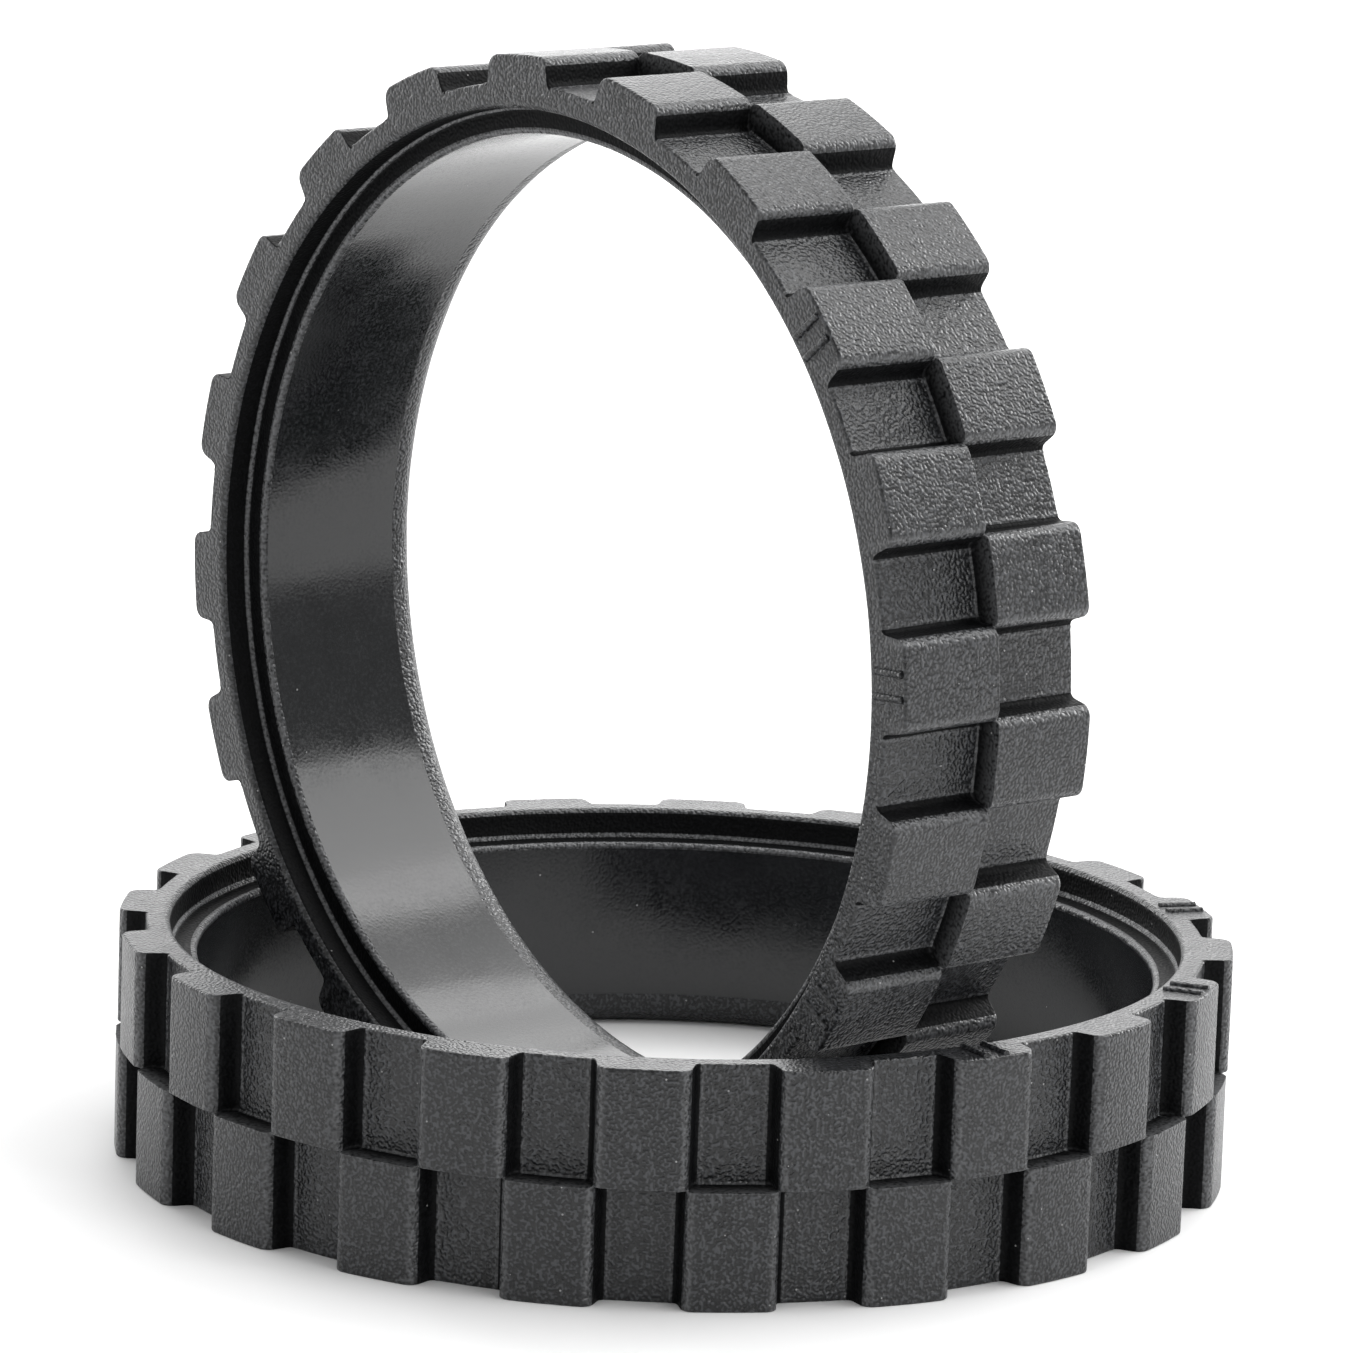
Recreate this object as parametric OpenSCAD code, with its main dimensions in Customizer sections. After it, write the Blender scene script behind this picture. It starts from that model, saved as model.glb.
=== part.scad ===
// A pair of moulded rubber drive-wheel tires with a staggered block tread.
// One lies flat on the floor. Its twin stands on edge inside the first one's hole.
// Frame: origin on the floor at the lying tire's centre, Z up, -Y towards the front.

/* [Tire body] */
// Diameter of the bore that grips the wheel rim
bore_d = 61.8; // [50:0.1:80]
// Width of the tire from face to face
tire_width = 15; // [11:0.1:18]
// Thickness of the rubber between the bore and the floor of the tread grooves
carcass_wall = 3.3; // [2.6:0.1:4.5]
// Depth of the step cut into one face, which takes the wheel's outer flange
step_depth = 2; // [1.2:0.1:3.5]
// Thickness of the thin rim left standing around that step
step_rim = 1.6; // [1.1:0.1:2]
// Bevel at the mouth of the step
step_bevel = 0.5; // [0.2:0.1:0.8]
// Bevel at the other end of the bore, which leads the wheel in
lead_in = 1.9; // [0.4:0.1:2.2]

/* [Tread] */
// Number of lugs in each of the two rows
lugs = 20; // [12:1:30]
// Height of the lugs above the groove floor
lug_height = 1.8; // [1:0.1:3]
// Share of half a pitch that the top of a lug covers
lug_fill = 0.98; // [0.8:0.01:0.98]
// Slope of a lug's two flanks, in degrees
lug_draft = 7; // [2:1:12]

/* [Arrangement] */
// Turn of the lying tire's tread about the vertical, in degrees
lying_turn = -3.5; // [-17:0.5:17]
// Direction that the standing tire's stepped face looks, in degrees from +X
standing_heading = 219; // [0:1:359]
// Roll of the standing tire about its own axis, in degrees
standing_roll = 4.5; // [-17:0.1:17]
// Clearance between the two tires where they stand closest
tire_gap = 0.3; // [0.2:0.1:1]

/* [Hidden] */

$fn = 180;
rubber = [0.10, 0.10, 0.11];
bore_r = bore_d / 2;
groove_r = bore_r + carcass_wall;
tire_r = groove_r + lug_height;
step_r = groove_r - step_rim;
step_z = tire_width - step_depth;
row_width = tire_width / 2;
pitch = 360 / lugs;
// Half width of a lug at its top, and what it gains on each side per millimetre of depth
lug_half_top = lug_fill * tire_r * sin(pitch / 4);
lug_lean = tan(lug_draft);
// A lug's root runs this far into the carcass, and its blank this far past its top
root_sink = carcass_wall / 3;
blank_over = 1;

// The standing tire rests on the floor. Where it is too long in the hole for that,
// it rests on the lying tire's bore, level with the step.
hole_half_chord = sqrt(pow(bore_r - tire_gap, 2) - pow(row_width, 2));
standing_z = max(tire_r, step_z + sqrt(pow(tire_r, 2) - pow(hole_half_chord, 2)));
// It is pushed along its own axis until its stepped face's edges meet the hole,
// either at the bore's top edge or at the top of the step.
function half_chord(z) = sqrt(pow(tire_r, 2) - pow(standing_z - z, 2));
function push_room(hole_r, z) = sqrt(pow(hole_r - tire_gap, 2) - pow(half_chord(z), 2)) - row_width;
standing_push = max(0, min(push_room(bore_r, step_z), push_room(step_r, tire_width)));

// Half section of the ring below the tread, stepped face up
ring_section = [
    [bore_r + lead_in, 0],
    [groove_r, 0],
    [groove_r, tire_width],
    [step_r + step_bevel, tire_width],
    [step_r, tire_width - step_bevel],
    [step_r, step_z],
    [bore_r, step_z],
    [bore_r, lead_in]
];

// Half width of a lug where it is r from the tire's axis, measured along its middle
function lug_half(r) = lug_half_top + (tire_r - r) * lug_lean;

// One lug's straight-sided blank, pointing along +X
module lug_blank() {
    inner = groove_r - root_sink;
    outer = tire_r + blank_over;
    linear_extrude(row_width)
        polygon([
            [inner, -lug_half(inner)],
            [outer, -lug_half(outer)],
            [outer, lug_half(outer)],
            [inner, lug_half(inner)]
        ]);
}

// One row of lugs, turned down to the tire's outside diameter
module lug_row(turn) {
    intersection() {
        cylinder(r = tire_r, h = row_width);
        union()
            for (i = [0 : lugs - 1])
                rotate([0, 0, turn + i * pitch])
                    lug_blank();
    }
}

// The whole tire on the floor, axis up, stepped face up, with a top lug over +X
module tire() {
    union() {
        rotate_extrude()
            polygon(ring_section);
        lug_row(pitch / 2);
        translate([0, 0, row_width])
            lug_row(0);
    }
}

module lying_tire() {
    color(rubber)
        rotate([0, 0, lying_turn])
            tire();
}

// Its axis is level, its stepped face looks along the heading, and its roll starts with a lug on top
module standing_tire() {
    color(rubber)
        rotate([0, 0, standing_heading])
            translate([standing_push, 0, standing_z])
                rotate([0, 90, 0])
                    rotate([0, 0, 180 + standing_roll])
                        translate([0, 0, -row_width])
                            tire();
}

lying_tire();
standing_tire();
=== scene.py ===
import math

import bpy
from mathutils import Matrix, Vector


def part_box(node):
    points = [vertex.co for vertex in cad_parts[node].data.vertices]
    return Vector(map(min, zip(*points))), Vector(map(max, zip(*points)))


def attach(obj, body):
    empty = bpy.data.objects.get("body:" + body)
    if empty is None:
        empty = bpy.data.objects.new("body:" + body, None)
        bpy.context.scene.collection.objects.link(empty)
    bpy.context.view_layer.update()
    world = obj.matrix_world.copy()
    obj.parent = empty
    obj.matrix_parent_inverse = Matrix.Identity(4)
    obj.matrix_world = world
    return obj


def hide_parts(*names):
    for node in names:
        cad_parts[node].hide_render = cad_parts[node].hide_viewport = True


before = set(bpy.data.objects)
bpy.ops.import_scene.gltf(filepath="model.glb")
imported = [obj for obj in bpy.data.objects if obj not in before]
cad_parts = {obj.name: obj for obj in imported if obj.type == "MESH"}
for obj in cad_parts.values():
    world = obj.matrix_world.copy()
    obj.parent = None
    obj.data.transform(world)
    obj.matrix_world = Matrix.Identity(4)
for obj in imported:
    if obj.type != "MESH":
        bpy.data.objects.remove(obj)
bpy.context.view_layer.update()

MM = 0.001

# ---------------------------------------------------------------- sizes, in metres
LYING_LOW, LYING_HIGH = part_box("lying_tire")
STANDING_LOW, STANDING_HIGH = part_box("standing_tire")
TIRE_R = (LYING_HIGH[0] - LYING_LOW[0]) / 2
WIDTH = LYING_HIGH[2] - LYING_LOW[2]
BORE_R = 30.9 * MM
GROOVE_R = TIRE_R - 1.8 * MM
STEP_R = GROOVE_R - 1.6 * MM
STEP_DEPTH = 2.0 * MM
LEAD_IN = 1.9 * MM
LUGS = 20
LYING_TURN = math.radians(-3.5)
STANDING_HEADING = math.radians(219)
STANDING_ROLL = math.radians(184.5)


# ---------------------------------------------------------------- the ring's half section
def arc(centre, radius, start, end, steps):
    """Points on an arc from start to end, in degrees, both ends included."""
    turns = [math.radians(start + (end - start) * i / steps) for i in range(steps + 1)]
    return [(centre[0] + radius * math.cos(t), centre[1] + radius * math.sin(t)) for t in turns]


def ring_section():
    """The closed outline of the ring below its lugs, as stations (r, z, upper, lift, bore).

    upper is 1 in the row of lugs next to the stepped face. lift is 1 where a station moves
    out with its row's lugs. bore is 1 on the smooth bore."""
    edge = 0.16 * MM
    roll = 0.5 * MM
    soft = 0.3 * MM
    nib = 0.12 * MM
    seam = WIDTH / 2
    rim = GROOVE_R - edge
    step_z = WIDTH - STEP_DEPTH
    seam_steps = [0.9, 0.42, 0.22, 0.14, 0.08, 0.035, 0.0]
    out = []
    # outer wall, lower row: bottom edge up to the seam
    for r, z in arc((rim, edge), edge, -90, 0, 4):
        out.append((r, z, 0, 1, 0))
    for z in (0.3 * MM, 1.1 * MM, 2.6 * MM, 4.4 * MM):
        out.append((GROOVE_R, z, 0, 1, 0))
    for d in seam_steps:
        out.append((GROOVE_R, seam - d * MM, 0, 1, 0))
    # upper row: seam up to the stepped face
    for d in reversed(seam_steps):
        out.append((GROOVE_R, seam + d * MM, 1, 1, 0))
    for z in (4.4 * MM, 2.6 * MM, 1.1 * MM, 0.3 * MM):
        out.append((GROOVE_R, WIDTH - z, 1, 1, 0))
    for r, z in arc((rim, WIDTH - edge), edge, 0, 90, 4):
        out.append((r, z, 1, 1, 0))
    # stepped face, then the rolled edge down into the step
    out.append((rim - 0.05 * MM, WIDTH, 1, 1, 0))
    out.append((rim - 0.45 * MM, WIDTH, 1, 0, 0))
    out.append((STEP_R + roll + 0.05 * MM, WIDTH, 1, 0, 0))
    for r, z in arc((STEP_R + roll, WIDTH - roll), roll, 90, 180, 7):
        out.append((r, z, 1, 0, 0))
    # a fine raised line runs round the foot of the step's wall
    out.append((STEP_R, step_z + 2.6 * nib, 1, 0, 0))
    out.append((STEP_R - 0.4 * nib, step_z + 1.9 * nib, 1, 0, 0))
    out.append((STEP_R - 1.1 * nib, step_z + 1.7 * nib, 1, 0, 0))
    out.append((STEP_R - 1.5 * nib, step_z + 1.2 * nib, 1, 0, 0))
    out.append((STEP_R - 1.6 * nib, step_z + 0.3 * nib, 1, 0, 0))
    out.append((STEP_R - 2.0 * nib, step_z, 1, 0, 0))
    out.append((STEP_R - 3.0 * nib, step_z, 1, 0, 0))
    out.append((BORE_R + soft + 0.1 * MM, step_z, 1, 0, 0))
    # ledge, rounded over into the bore
    for r, z in arc((BORE_R + soft, step_z - soft), soft, 90, 180, 5):
        out.append((r, z, 1, 0, 0))
    out.append((BORE_R, step_z - soft - 0.1 * MM, 1, 0, 1))
    for share in (0.8, 0.6, 0.4, 0.2):
        out.append((BORE_R, LEAD_IN + soft + share * (step_z - LEAD_IN - 2 * soft), 0, 0, 1))
    out.append((BORE_R, LEAD_IN + 0.35 * MM, 0, 0, 1))
    # lead-in at the plain face
    for r, z in arc((BORE_R + LEAD_IN, LEAD_IN), LEAD_IN, 190, 262, 6):
        out.append((r, z, 0, 0, 0))
    out.append((BORE_R + LEAD_IN + 0.1 * MM, 0, 0, 0, 0))
    out.append((rim - 0.45 * MM, 0, 0, 0, 0))
    out.append((rim - 0.05 * MM, 0, 0, 1, 0))
    return out


def in_step(r, z):
    """True on the step's wall and on its ledge, but not on the rounded edges next to them."""
    inside = BORE_R + 0.35 * MM < r < STEP_R + 0.05 * MM and z > WIDTH - STEP_DEPTH - 0.05 * MM
    return inside and not on_trim(r, z)


def on_trim(r, z):
    """True on the fine raised line and on the ledge's rounded inner edge."""
    depth = z - (WIDTH - STEP_DEPTH)
    on_line = STEP_R - 0.22 * MM < r < STEP_R - 0.02 * MM and 0.1 * MM < depth < 0.3 * MM
    on_edge = BORE_R < r < BORE_R + 0.3 * MM and -0.25 * MM < depth < 0.01 * MM
    return on_line or on_edge


def section_object():
    """The section as a bare mesh: x is the radius, z the height, the rest are attributes."""
    stations = [(*s, int(in_step(s[0], s[1])), int(on_trim(s[0], s[1]))) for s in ring_section()]
    mesh = bpy.data.meshes.new("ring section")
    mesh.from_pydata([(r, 0, z) for r, z, *_ in stations], [], [])
    for k, name in enumerate(("upper", "lift", "bore", "recess", "trim")):
        layer = mesh.attributes.new(name, "FLOAT", "POINT")
        layer.data.foreach_set("value", [float(s[2 + k]) for s in stations])
    ob = bpy.data.objects.new("ring section", mesh)
    bpy.context.scene.collection.objects.link(ob)
    return ob, len(stations)


# ---------------------------------------------------------------- node fields as arithmetic
class Field:
    """A number in a node tree that can be added, multiplied and compared in plain Python."""

    def __init__(self, tree, socket):
        self.tree = tree
        self.socket = socket

    def math(self, operation, *others):
        node = self.tree.nodes.new("ShaderNodeMath")
        node.operation = operation
        for i, value in enumerate((self,) + others):
            if isinstance(value, Field):
                self.tree.links.new(value.socket, node.inputs[i])
            else:
                node.inputs[i].default_value = value
        return Field(self.tree, node.outputs[0])

    def __add__(self, other):
        return self.math("ADD", other)

    __radd__ = __add__

    def __mul__(self, other):
        return self.math("MULTIPLY", other)

    __rmul__ = __mul__

    def __sub__(self, other):
        return self.math("SUBTRACT", other)

    def __rsub__(self, other):
        return (self * -1) + other

    def __truediv__(self, other):
        return self.math("DIVIDE", other)

    def __rtruediv__(self, other):
        return self.math("POWER", -1.0) * other

    def __gt__(self, other):
        return self.math("GREATER_THAN", other)

    def __lt__(self, other):
        return self.math("LESS_THAN", other)

    def least(self, other):
        return self.math("MINIMUM", other)

    def most(self, other):
        return self.math("MAXIMUM", other)

    def within(self, low, high):
        return self.most(low).least(high)

    def root(self):
        return self.most(0.0).math("SQRT")


def choose(test, yes, no):
    """yes where test is 1, no where it is 0."""
    return (yes - no) * test + no


def bump_at(distance, reach):
    """1 at no distance, fading smoothly to nothing at about twice the reach."""
    share = distance / reach
    return (share * share * -1.0).math("EXPONENT")


# ---------------------------------------------------------------- the tire as a node tree
SIZES = {
    "Tire Radius": TIRE_R,
    "Groove Radius": GROOVE_R,
    "Width": WIDTH,
    "Lugs": LUGS,
    "Flank Lean": math.tan(math.radians(7)),
    "Corner Radius": 0.8 * MM,
    "Foot Radius": 0.5 * MM,
    "Seam Corner": 0.06 * MM,
    "Seam Foot": 0.2 * MM,
    "Samples": 26,
    "Crowded Reach": 1.0 * MM,
    "Unevenness": 0.045 * MM,
    "Flash": 0.09 * MM,
    "Tick Start": 33.2 * MM,
    "Tick End": 35.7 * MM,
    "Tick Radius": 0.23 * MM,
    "Tick Spacing": 1.5 * MM,
    "Tick Lugs": 3,
    "First Tick Lug": 13.0,
    "Seed": 1.0,
}
WHOLE = ("Lugs", "Samples", "Tick Lugs")
# half the share of the columns that crowd round each place where a lug ends
CROWDED_SHARE = 0.42
# points this close together are the same point, in metres
MERGE_WITHIN = 0.0015 * MM


def tire_tree(stations):
    """Sweeps the ring section round the axis and raises the two staggered rows of lugs."""
    tree = bpy.data.node_groups.new("block tread tire", "GeometryNodeTree")
    face = tree.interface
    face.new_socket("Section", in_out="INPUT", socket_type="NodeSocketGeometry")
    for name, value in SIZES.items():
        kind = "NodeSocketInt" if name in WHOLE else "NodeSocketFloat"
        face.new_socket(name, in_out="INPUT", socket_type=kind).default_value = value
    for name in ("Tread Rubber", "Bore Rubber", "Shaded Rubber"):
        face.new_socket(name, in_out="INPUT", socket_type="NodeSocketMaterial")
    face.new_socket("Tire", in_out="OUTPUT", socket_type="NodeSocketGeometry")
    nodes, links = tree.nodes, tree.links
    given = nodes.new("NodeGroupInput")
    result = nodes.new("NodeGroupOutput")

    def size(name):
        return Field(tree, given.outputs[name])

    def sample(name, kind, index):
        node = nodes.new("GeometryNodeSampleIndex")
        node.data_type = kind
        node.domain = "POINT"
        links.new(given.outputs["Section"], node.inputs["Geometry"])
        if name == "position":
            source = nodes.new("GeometryNodeInputPosition").outputs[0]
        else:
            named = nodes.new("GeometryNodeInputNamedAttribute")
            named.data_type = "FLOAT"
            named.inputs["Name"].default_value = name
            source = named.outputs[0]
        links.new(source, node.inputs["Value"])
        links.new(index.socket, node.inputs["Index"])
        return node.outputs[0]

    def split(vector):
        node = nodes.new("ShaderNodeSeparateXYZ")
        links.new(vector, node.inputs[0])
        return [Field(tree, s) for s in node.outputs]

    def joined(vx, vy, vz):
        node = nodes.new("ShaderNodeCombineXYZ")
        for i, v in enumerate((vx, vy, vz)):
            links.new(v.socket, node.inputs[i])
        return node.outputs[0]

    def noise(scale, detail, seed, where=None):
        node = nodes.new("ShaderNodeTexNoise")
        node.noise_dimensions = "4D"
        node.inputs["Scale"].default_value = scale
        node.inputs["Detail"].default_value = detail
        links.new(seed.socket, node.inputs["W"])
        if where is not None:
            links.new(where, node.inputs["Vector"])
        return node

    # a flat grid: x counts columns round the tire, y counts stations of the section
    half_pitches = size("Lugs") * 2.0
    columns = half_pitches * size("Samples")
    grid = nodes.new("GeometryNodeMeshGrid")
    links.new((columns + 1.0).socket, grid.inputs["Vertices X"])
    grid.inputs["Vertices Y"].default_value = stations + 1
    links.new(columns.socket, grid.inputs["Size X"])
    grid.inputs["Size Y"].default_value = stations
    x, y, _ = split(nodes.new("GeometryNodeInputPosition").outputs[0])
    column = (x + columns * 0.5).math("ROUND")
    station = (y + stations * 0.5).math("ROUND").math("FLOORED_MODULO", float(stations))
    radius0, _, height = split(sample("position", "FLOAT_VECTOR", station))
    upper = Field(tree, sample("upper", "FLOAT", station))
    lift = Field(tree, sample("lift", "FLOAT", station))
    in_bore = Field(tree, sample("bore", "FLOAT", station))
    in_recess = Field(tree, sample("recess", "FLOAT", station))
    in_trim = Field(tree, sample("trim", "FLOAT", station))

    # columns crowd together where one row's lug ends and the other row's begins
    arc_step = size("Tire Radius") * math.pi / size("Lugs")
    crowded = size("Crowded Reach") / arc_step
    u = column / size("Samples")
    nearest = (u + 0.5).math("FLOOR")
    offset = u - nearest
    away = offset.math("ABSOLUTE")
    near = away.least(CROWDED_SHARE) / CROWDED_SHARE * crowded
    far = (away - CROWDED_SHARE).most(0.0) / (0.5 - CROWDED_SHARE) * (0.5 - crowded)
    spaced = nearest + (near + far) * offset.math("SIGN")
    angle = (spaced - 0.5) * math.pi / size("Lugs")
    from_upper = ((spaced + 0.5).math("FLOORED_MODULO", 2.0) - 1.0).math("ABSOLUTE")
    from_lower = 1.0 - from_upper

    # a lug's profile: flat top, rounded corner, leaning flank, filleted foot
    lug_height = size("Tire Radius") - size("Groove Radius")
    half_top = arc_step * 0.5
    lean = size("Flank Lean") + half_top / size("Tire Radius")
    slope = (lean * lean + 1.0).root()
    cos_lean = 1.0 / slope
    sin_lean = lean / slope
    corner, foot = size("Corner Radius"), size("Foot Radius")
    # tangent length of a round where two lines meet at a right angle plus the lean
    reach = (1.0 - sin_lean) / cos_lean
    top_end = half_top - corner * reach
    flank_start = top_end + corner * cos_lean
    foot_end = half_top + lug_height * lean + foot * reach
    flank_end = foot_end - foot * cos_lean

    def lug_profile(s):
        over = (s - top_end).within(0.0, 1.0)
        top = lug_height - corner + (corner * corner - over * over).root()
        under = (foot_end - s).most(0.0)
        fillet = foot - (foot * foot - under * under).root()
        flank = lug_height - corner * (1.0 - sin_lean) - (s - flank_start) / lean
        ridge = bump_at(s - foot_end, 0.09 * MM) * (0.06 * MM)
        return choose(s < flank_start, top, choose(s < flank_end, flank, fillet + ridge))

    s_upper = from_upper * arc_step
    s_lower = from_lower * arc_step
    h_upper = lug_profile(s_upper)
    h_lower = lug_profile(s_lower)
    own = choose(upper > 0.5, h_upper, h_lower)
    other = choose(upper > 0.5, h_lower, h_upper)
    own_s = choose(upper > 0.5, s_upper, s_lower)
    rise = own - other

    # where the rows meet, the higher one is broken over and the lower one filleted up
    seam_gap = (height - size("Width") * 0.5).math("ABSOLUTE")

    def quarter_round(gap, r):
        inside = (r - gap).most(0.0)
        return r - (r * r - inside * inside).root()

    over_r = size("Seam Corner").least(rise.most(0.0) * 0.5)
    under_r = size("Seam Foot").least((rise * -1.0).most(0.0) * 0.5)
    seam_shape = quarter_round(seam_gap, under_r) - quarter_round(seam_gap, over_r)
    # read round the axis, so that the first and last columns agree and the sweep closes
    round_x = angle.math("COSINE") * size("Tire Radius")
    round_y = angle.math("SINE") * size("Tire Radius")
    rough = noise(4000.0, 2.0, size("Seed") + 7.0, joined(round_x, round_y, height))
    ragged = (Field(tree, rough.outputs[0]) - 0.53).most(0.0) * 6.0
    at_seam = bump_at(seam_gap, 0.05 * MM)
    flash = at_seam * ragged * size("Flash") * (own > lug_height * 0.6) * (rise > lug_height * -0.2)
    radius = radius0 + (own + seam_shape + flash) * lift

    place = joined(radius * angle.math("COSINE"), radius * angle.math("SINE"), height)
    swept = nodes.new("GeometryNodeSetPosition")
    # edge and foot mark where thin painted highlight lines go; recess, flank and seam_wall mark where the
    # rubber gets painted shade
    marks = [
        ("bore", in_bore),
        ("lift", lift),
        ("recess", in_recess),
        ("flank", lift * (own_s > flank_start - corner * 0.15) * (own_s < foot_end - 0.08 * MM)),
        ("seam_wall", lift * at_seam * (rise.math("ABSOLUTE") / (lug_height * 0.5)).least(1.0)),
        ("edge", lift * (bump_at(own_s - (top_end + corner * 0.55), 0.22 * MM) * 0.6).most(
            at_seam * (own > lug_height * 0.7)) + in_trim * 0.8),
        ("foot", lift * bump_at(own_s - foot_end, 0.11 * MM).most(
            bump_at(seam_gap - 0.13 * MM, 0.07 * MM) * (rise < lug_height * -0.3))),
        ("height", own / lug_height),
    ]
    stored = grid.outputs["Mesh"]
    for name, value in marks:
        store = nodes.new("GeometryNodeStoreNamedAttribute")
        store.data_type = "FLOAT"
        store.domain = "POINT"
        store.inputs["Name"].default_value = name
        links.new(stored, store.inputs["Geometry"])
        links.new(value.socket, store.inputs["Value"])
        stored = store.outputs["Geometry"]
    links.new(stored, swept.inputs["Geometry"])
    links.new(place, swept.inputs["Position"])

    # the moulding is a little uneven all over
    waves = noise(160.0, 1.0, size("Seed"))
    wx, wy, wz = split(waves.outputs["Color"])
    amount = size("Unevenness") * 2.0
    shift = joined((wx - 0.5) * amount, (wy - 0.5) * amount, (wz - 0.5) * amount * (in_bore * -0.6 + 0.6))
    uneven = nodes.new("GeometryNodeSetPosition")
    links.new(swept.outputs[0], uneven.inputs["Geometry"])
    links.new(shift, uneven.inputs["Offset"])

    merge = nodes.new("GeometryNodeMergeByDistance")
    merge.inputs["Distance"].default_value = MERGE_WITHIN
    links.new(uneven.outputs[0], merge.inputs["Geometry"])
    smooth = nodes.new("GeometryNodeSetShadeSmooth")
    links.new(merge.outputs[0], smooth.inputs["Geometry"])

    # pairs of raised bars cross the stepped face at every second lug along a short stretch
    def tick_bar(side):
        line = nodes.new("GeometryNodeCurvePrimitiveLine")
        across = size("Tick Spacing") * (0.5 * side)
        level = size("Width")
        links.new(joined(size("Tick Start"), across, level), line.inputs["Start"])
        links.new(joined(size("Tick End"), across, level), line.inputs["End"])
        ring = nodes.new("GeometryNodeCurvePrimitiveCircle")
        ring.inputs["Resolution"].default_value = 16
        links.new(size("Tick Radius").socket, ring.inputs["Radius"])
        bar = nodes.new("GeometryNodeCurveToMesh")
        links.new(line.outputs[0], bar.inputs["Curve"])
        links.new(ring.outputs[0], bar.inputs["Profile Curve"])
        bar.inputs["Fill Caps"].default_value = True
        return bar.outputs[0]

    pair = nodes.new("GeometryNodeJoinGeometry")
    for side in (1.0, -1.0):
        links.new(tick_bar(side), pair.inputs[0])
    spots = nodes.new("GeometryNodePoints")
    links.new(size("Tick Lugs").socket, spots.inputs["Count"])
    number = Field(tree, nodes.new("GeometryNodeInputIndex").outputs[0])
    turn = (number * 2.0 + size("First Tick Lug")) * (2 * math.pi) / size("Lugs")
    none = number * 0.0
    ticks = nodes.new("GeometryNodeInstanceOnPoints")
    links.new(spots.outputs[0], ticks.inputs["Points"])
    links.new(pair.outputs[0], ticks.inputs["Instance"])
    links.new(joined(none, none, turn), ticks.inputs["Rotation"])
    whole = nodes.new("GeometryNodeJoinGeometry")
    links.new(smooth.outputs[0], whole.inputs[0])
    links.new(ticks.outputs[0], whole.inputs[0])

    def paint(geometry, material, test=None):
        node = nodes.new("GeometryNodeSetMaterial")
        links.new(geometry, node.inputs["Geometry"])
        links.new(given.outputs[material], node.inputs["Material"])
        if test is not None:
            links.new(test.socket, node.inputs["Selection"])
        return node.outputs[0]

    def stored_mark(name):
        node = nodes.new("GeometryNodeInputNamedAttribute")
        node.data_type = "FLOAT"
        node.inputs["Name"].default_value = name
        return Field(tree, node.outputs[0])

    real = nodes.new("GeometryNodeRealizeInstances")
    links.new(whole.outputs[0], real.inputs[0])
    painted = paint(real.outputs[0], "Tread Rubber")
    # the step's recess, the lug flanks and the seam walls get a darker, less shiny copy of the rubber:
    # painted shade
    painted_shade_mask = stored_mark("recess").most(stored_mark("flank")).most(stored_mark("seam_wall"))
    painted = paint(painted, "Shaded Rubber", painted_shade_mask > 0.5)
    painted = paint(painted, "Bore Rubber", stored_mark("bore") > 0.5)
    links.new(painted, result.inputs["Tire"])
    return tree


def make_tire(name, tree, section, seed, first_tick, materials, place):
    """Runs the tree once and returns a plain mesh object with its place in its mesh."""
    modifier = section.modifiers.new("tire", "NODES")
    modifier.node_group = tree
    sockets = {s.name: s.identifier for s in tree.interface.items_tree if s.in_out == "INPUT"}
    for key, value in SIZES.items():
        modifier[sockets[key]] = value
    modifier[sockets["Seed"]] = float(seed)
    modifier[sockets["First Tick Lug"]] = float(first_tick)
    modifier[sockets["Tread Rubber"]] = materials[0]
    modifier[sockets["Bore Rubber"]] = materials[1]
    modifier[sockets["Shaded Rubber"]] = materials[2]
    bpy.context.view_layer.update()
    made = section.evaluated_get(bpy.context.evaluated_depsgraph_get())
    mesh = bpy.data.meshes.new_from_object(made)
    section.modifiers.remove(modifier)
    mesh.name = name
    mesh.transform(place)
    ob = bpy.data.objects.new(name, mesh)
    bpy.context.scene.collection.objects.link(ob)
    return ob


# ---------------------------------------------------------------- materials
GRAIN_WIDTH = 0.2 * MM
MOTTLE_WIDTH = 3.2 * MM
DUST_SPACING = 0.75 * MM


def material_tree(name):
    mat = bpy.data.materials.new(name)
    mat.use_nodes = True
    return mat, mat.node_tree, mat.node_tree.nodes["Principled BSDF"]


def texture(tree, kind, feature, **settings):
    """A 3D texture on Object coordinates whose features are about this many metres wide."""
    node = tree.nodes.new(kind)
    coords = tree.nodes.new("ShaderNodeTexCoord").outputs["Object"]
    tree.links.new(coords, node.inputs["Vector"])
    node.inputs["Scale"].default_value = 1 / feature
    for key, value in settings.items():
        node.inputs[key.replace("_", " ").title()].default_value = value
    return node


def attribute(tree, name):
    node = tree.nodes.new("ShaderNodeAttribute")
    node.attribute_name = name
    return Field(tree, node.outputs["Fac"])


def blend_colour(tree, share, low, high):
    """low where share is 0, high where it is 1; each a colour or another blend."""
    node = tree.nodes.new("ShaderNodeMix")
    node.data_type = "RGBA"
    tree.links.new(share.socket, node.inputs["Factor"])
    for end, value in ((node.inputs[6], low), (node.inputs[7], high)):
        if isinstance(value, tuple):
            end.default_value = (*value, 1)
        else:
            tree.links.new(value, end)
    return node.outputs[2]


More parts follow.
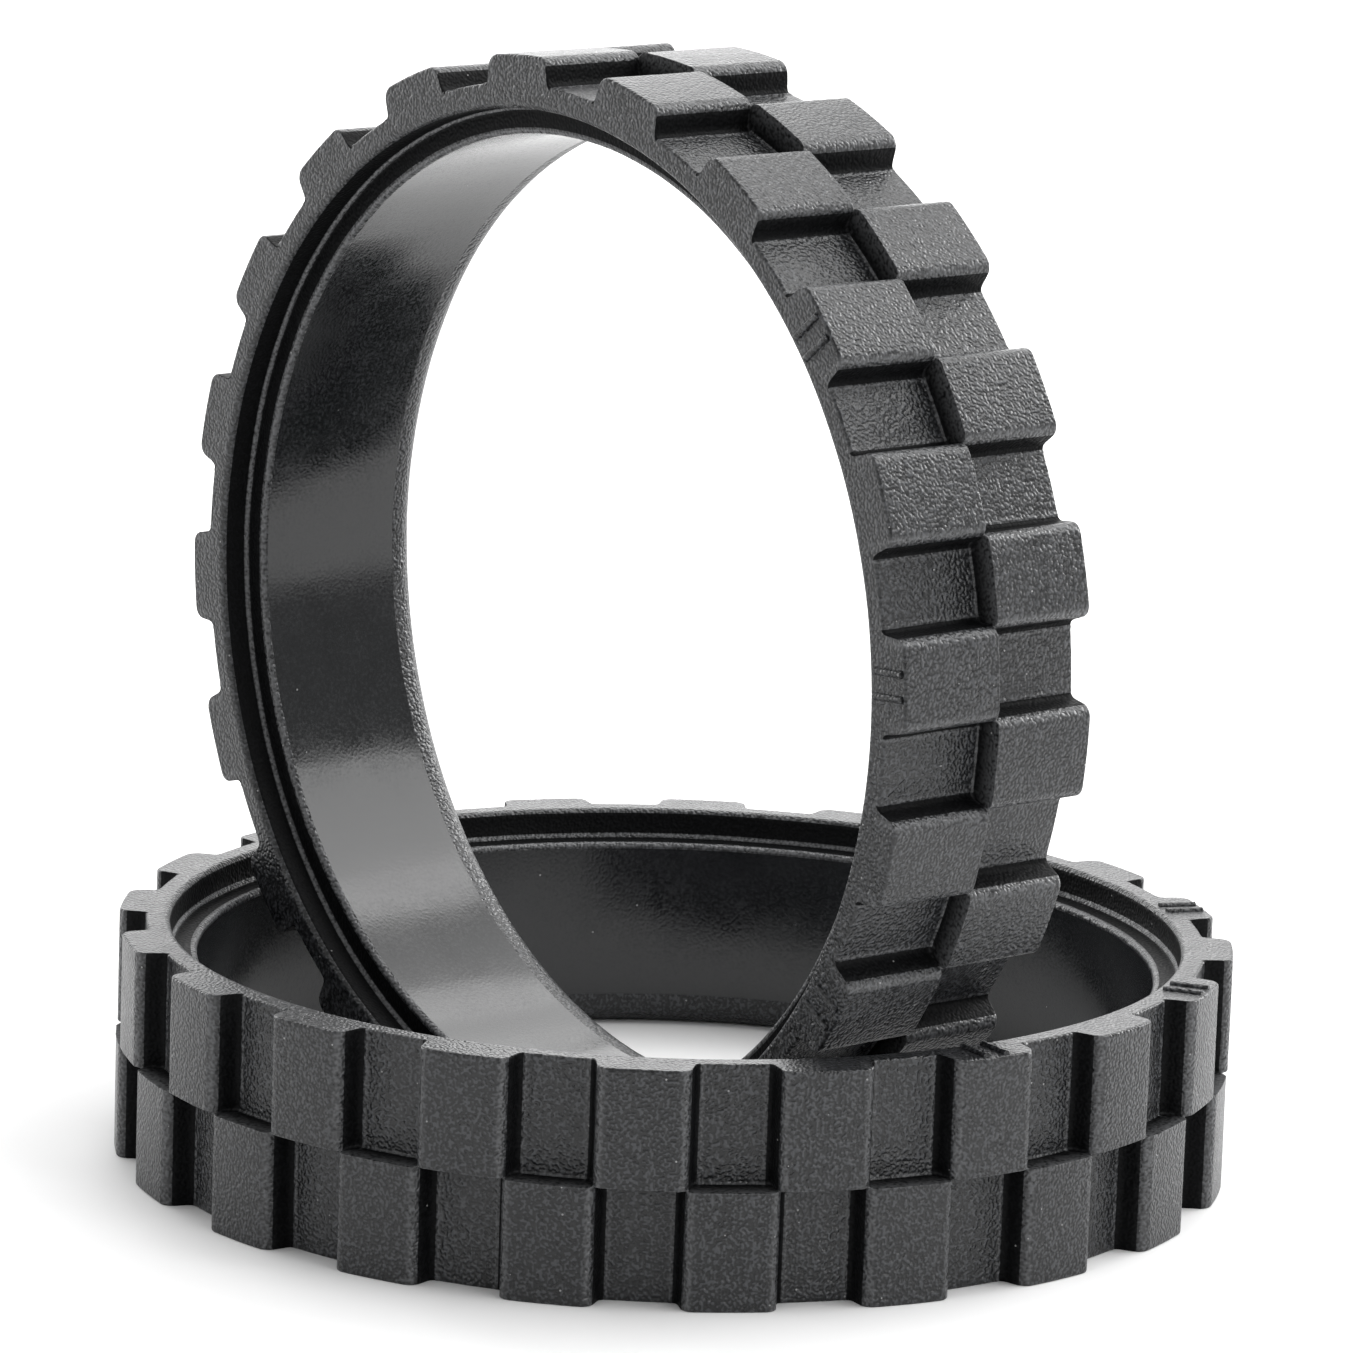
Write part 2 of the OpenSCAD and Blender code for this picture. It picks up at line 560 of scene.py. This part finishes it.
def black_rubber(name, tone, gloss, grain_height, highlight_strength, shine, speckled):
    """Black moulded rubber: fine grain, faint mottling, pale dust, and painted highlight lines along
    edges and feet.
    """
    mat, tree, shader = material_tree(name)
    grain_noise = texture(tree, "ShaderNodeTexNoise", GRAIN_WIDTH, detail=0.0, roughness=0.5)
    grain = Field(tree, grain_noise.outputs[0])
    mottle_noise = texture(tree, "ShaderNodeTexNoise", MOTTLE_WIDTH, detail=4.0, roughness=0.6)
    mottle = Field(tree, mottle_noise.outputs[0])
    dust = texture(tree, "ShaderNodeTexVoronoi", DUST_SPACING)
    pick = tree.nodes.new("ShaderNodeSeparateColor")
    tree.links.new(dust.outputs["Color"], pick.inputs[0])
    chosen = Field(tree, pick.outputs[0]) > (0.995 - 0.2 * speckled)
    speck = (Field(tree, dust.outputs["Distance"]) < 0.085) * chosen
    # painted highlight: thin light lines along the lug edges, the raised trim and the feet of the flanks,
    # lightened in the colour where light would glint
    lines = attribute(tree, "edge").most(attribute(tree, "foot") * 0.45)
    painted_highlight = lines * highlight_strength * (grain * 2.4 - 0.4).within(0.0, 1.0)
    dark = blend_colour(tree, (mottle * 1.6 - 0.3).within(0.0, 1.0), tone, tuple(1.7 * v for v in tone))
    speckle = ((grain - 0.5) * 6.0).within(0.0, 1.0) * speckled
    dark = blend_colour(tree, speckle, dark, tuple(7.0 * v for v in tone))
    highlighted_colour = blend_colour(tree, painted_highlight.within(0.0, 1.0), dark, (0.11, 0.112, 0.116))
    dusty = blend_colour(tree, speck * 0.8, highlighted_colour, (0.3, 0.3, 0.3))
    tree.links.new(dusty, shader.inputs["Base Color"])
    roughness = (mottle - 0.5) * 0.16 + (grain - 0.5) * 0.2 + gloss + speck * 0.3
    tree.links.new(roughness.within(0.05, 1.0).socket, shader.inputs["Roughness"])
    shader.inputs["Specular IOR Level"].default_value = shine
    bump = tree.nodes.new("ShaderNodeBump")
    bump.inputs["Strength"].default_value = 1.0
    bump.inputs["Distance"].default_value = grain_height
    tree.links.new(grain.socket, bump.inputs["Height"])
    tree.links.new(bump.outputs[0], shader.inputs["Normal"])
    return mat


TREAD = black_rubber("moulded tread rubber", (0.0065, 0.0068, 0.0074), 0.33, 0.1 * MM, 0.9, 0.45, 0.9)
BORE = black_rubber("smooth bore rubber", (0.006, 0.0065, 0.0072), 0.16, 0.004 * MM, 0.0, 0.5, 0.1)
# a darker, less shiny copy of the tread rubber: painted shade for the recess, the flanks and the seam
# walls
SHADED_RUBBER = black_rubber("rubber with painted shade", (0.002, 0.0021, 0.0023), 0.5, 0.05 * MM, 0.5, 0.06, 0.2)

section, count = section_object()
tree = tire_tree(count)
lying_place = Matrix.Rotation(LYING_TURN, 4, "Z")
centre = Vector([(a + b) / 2 for a, b in zip(STANDING_LOW, STANDING_HIGH)])
centre.z = TIRE_R
standing_place = (
    Matrix.Translation(centre)
    @ Matrix.Rotation(STANDING_HEADING, 4, "Z")
    @ Matrix.Rotation(math.pi / 2, 4, "Y")
    @ Matrix.Rotation(STANDING_ROLL, 4, "Z")
    @ Matrix.Translation((0, 0, -WIDTH / 2))
)
lying = make_tire("lying_tread_ring", tree, section, 3, 17, (TREAD, BORE, SHADED_RUBBER), lying_place)
standing = make_tire("standing_tread_ring", tree, section, 11, 13, (TREAD, BORE, SHADED_RUBBER), standing_place)
bpy.data.objects.remove(section)

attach(lying, "lying")
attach(standing, "standing")
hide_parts("lying_tire")
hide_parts("standing_tire")


# ---------------------------------------------------------------- camera, floor and light
def add_camera():
    """Stands a little above the tires and looks slightly down, rolled by a couple of degrees."""
    cam = bpy.data.cameras.new("camera")
    cam.lens = 187.2
    cam.sensor_width = 36
    cam.clip_start = 0.01
    cam.clip_end = 20
    ob = bpy.data.objects.new("camera", cam)
    bpy.context.scene.collection.objects.link(ob)
    eye = Vector((-7.151, -441.650, 125.729)) * MM
    target = Vector((-0.529, 0, 31.400)) * MM
    look = (target - eye).to_track_quat("-Z", "Y").to_matrix().to_4x4()
    ob.matrix_world = Matrix.Translation(eye) @ look @ Matrix.Rotation(math.radians(1.97), 4, "Z")
    bpy.context.scene.camera = ob


def add_floor(radius):
    bpy.ops.mesh.primitive_circle_add(vertices=96, radius=radius, fill_type="NGON")
    floor = bpy.context.object
    floor.name = "floor"
    mat, _, shader = material_tree("white floor")
    shader.inputs["Base Color"].default_value = (0.88, 0.88, 0.88, 1)
    shader.inputs["Roughness"].default_value = 0.8
    shader.inputs["Specular IOR Level"].default_value = 0.2
    floor.data.materials.append(mat)


# name, azimuth, elevation, size in metres, radiance
SOFTBOXES = [
    ("top softbox", 90, 82, 0.9, 1.3),
    ("right key", 0, 50, 0.7, 4.0),
    ("back right fill", 45, 50, 0.7, 1.2),
    ("back fill", 90, 50, 0.7, 2.2),
    ("back low fill", 90, 17, 0.5, 2.0),
    ("left low", 180, 17, 0.5, 1.1),
    ("back left low", 132, 17, 0.5, 4.0),
    ("back right low", 40, 17, 0.5, 8.0),
    ("front left low", 225, 17, 0.5, 1.7),
    ("front right low", 315, 17, 0.5, 4.0),
]
SOFTBOX_DISTANCE = 1.0


def add_softbox(name, azimuth, elevation, distance, size, radiance):
    """A round area light aimed at the tires; azimuth runs anticlockwise from +X, in degrees."""
    light = bpy.data.lights.new(name, "AREA")
    light.shape = "DISK"
    light.size = size
    light.energy = radiance * math.pi * math.pi * size * size / 4
    ob = bpy.data.objects.new(name, light)
    bpy.context.scene.collection.objects.link(ob)
    turn, climb = math.radians(azimuth), math.radians(elevation)
    way = Vector((math.cos(turn) * math.cos(climb), math.sin(turn) * math.cos(climb), math.sin(climb)))
    ob.location = way * distance + Vector((0, 0, 30 * MM))
    ob.rotation_euler = (-way).to_track_quat("-Z", "Y").to_euler()


def add_world(front, back):
    """A plain white room, brighter behind the tires than on the camera's side."""
    world = bpy.data.worlds.new("studio")
    world.use_nodes = True
    tree = world.node_tree
    background = tree.nodes["Background"]
    background.inputs[0].default_value = (1, 1, 1, 1)
    way = tree.nodes.new("ShaderNodeTexCoord").outputs["Generated"]
    split = tree.nodes.new("ShaderNodeSeparateXYZ")
    tree.links.new(way, split.inputs[0])
    share = ((Field(tree, split.outputs[1]) + 0.1) / 0.6).within(0.0, 1.0)
    tree.links.new((share * (back - front) + front).socket, background.inputs[1])
    bpy.context.scene.world = world


add_camera()
add_floor(0.8)
for name, azimuth, elevation, size, radiance in SOFTBOXES:
    add_softbox(name, azimuth, elevation, SOFTBOX_DISTANCE, size, radiance)
add_world(0.45, 1.15)
bpy.context.scene.view_settings.view_transform = "Standard"
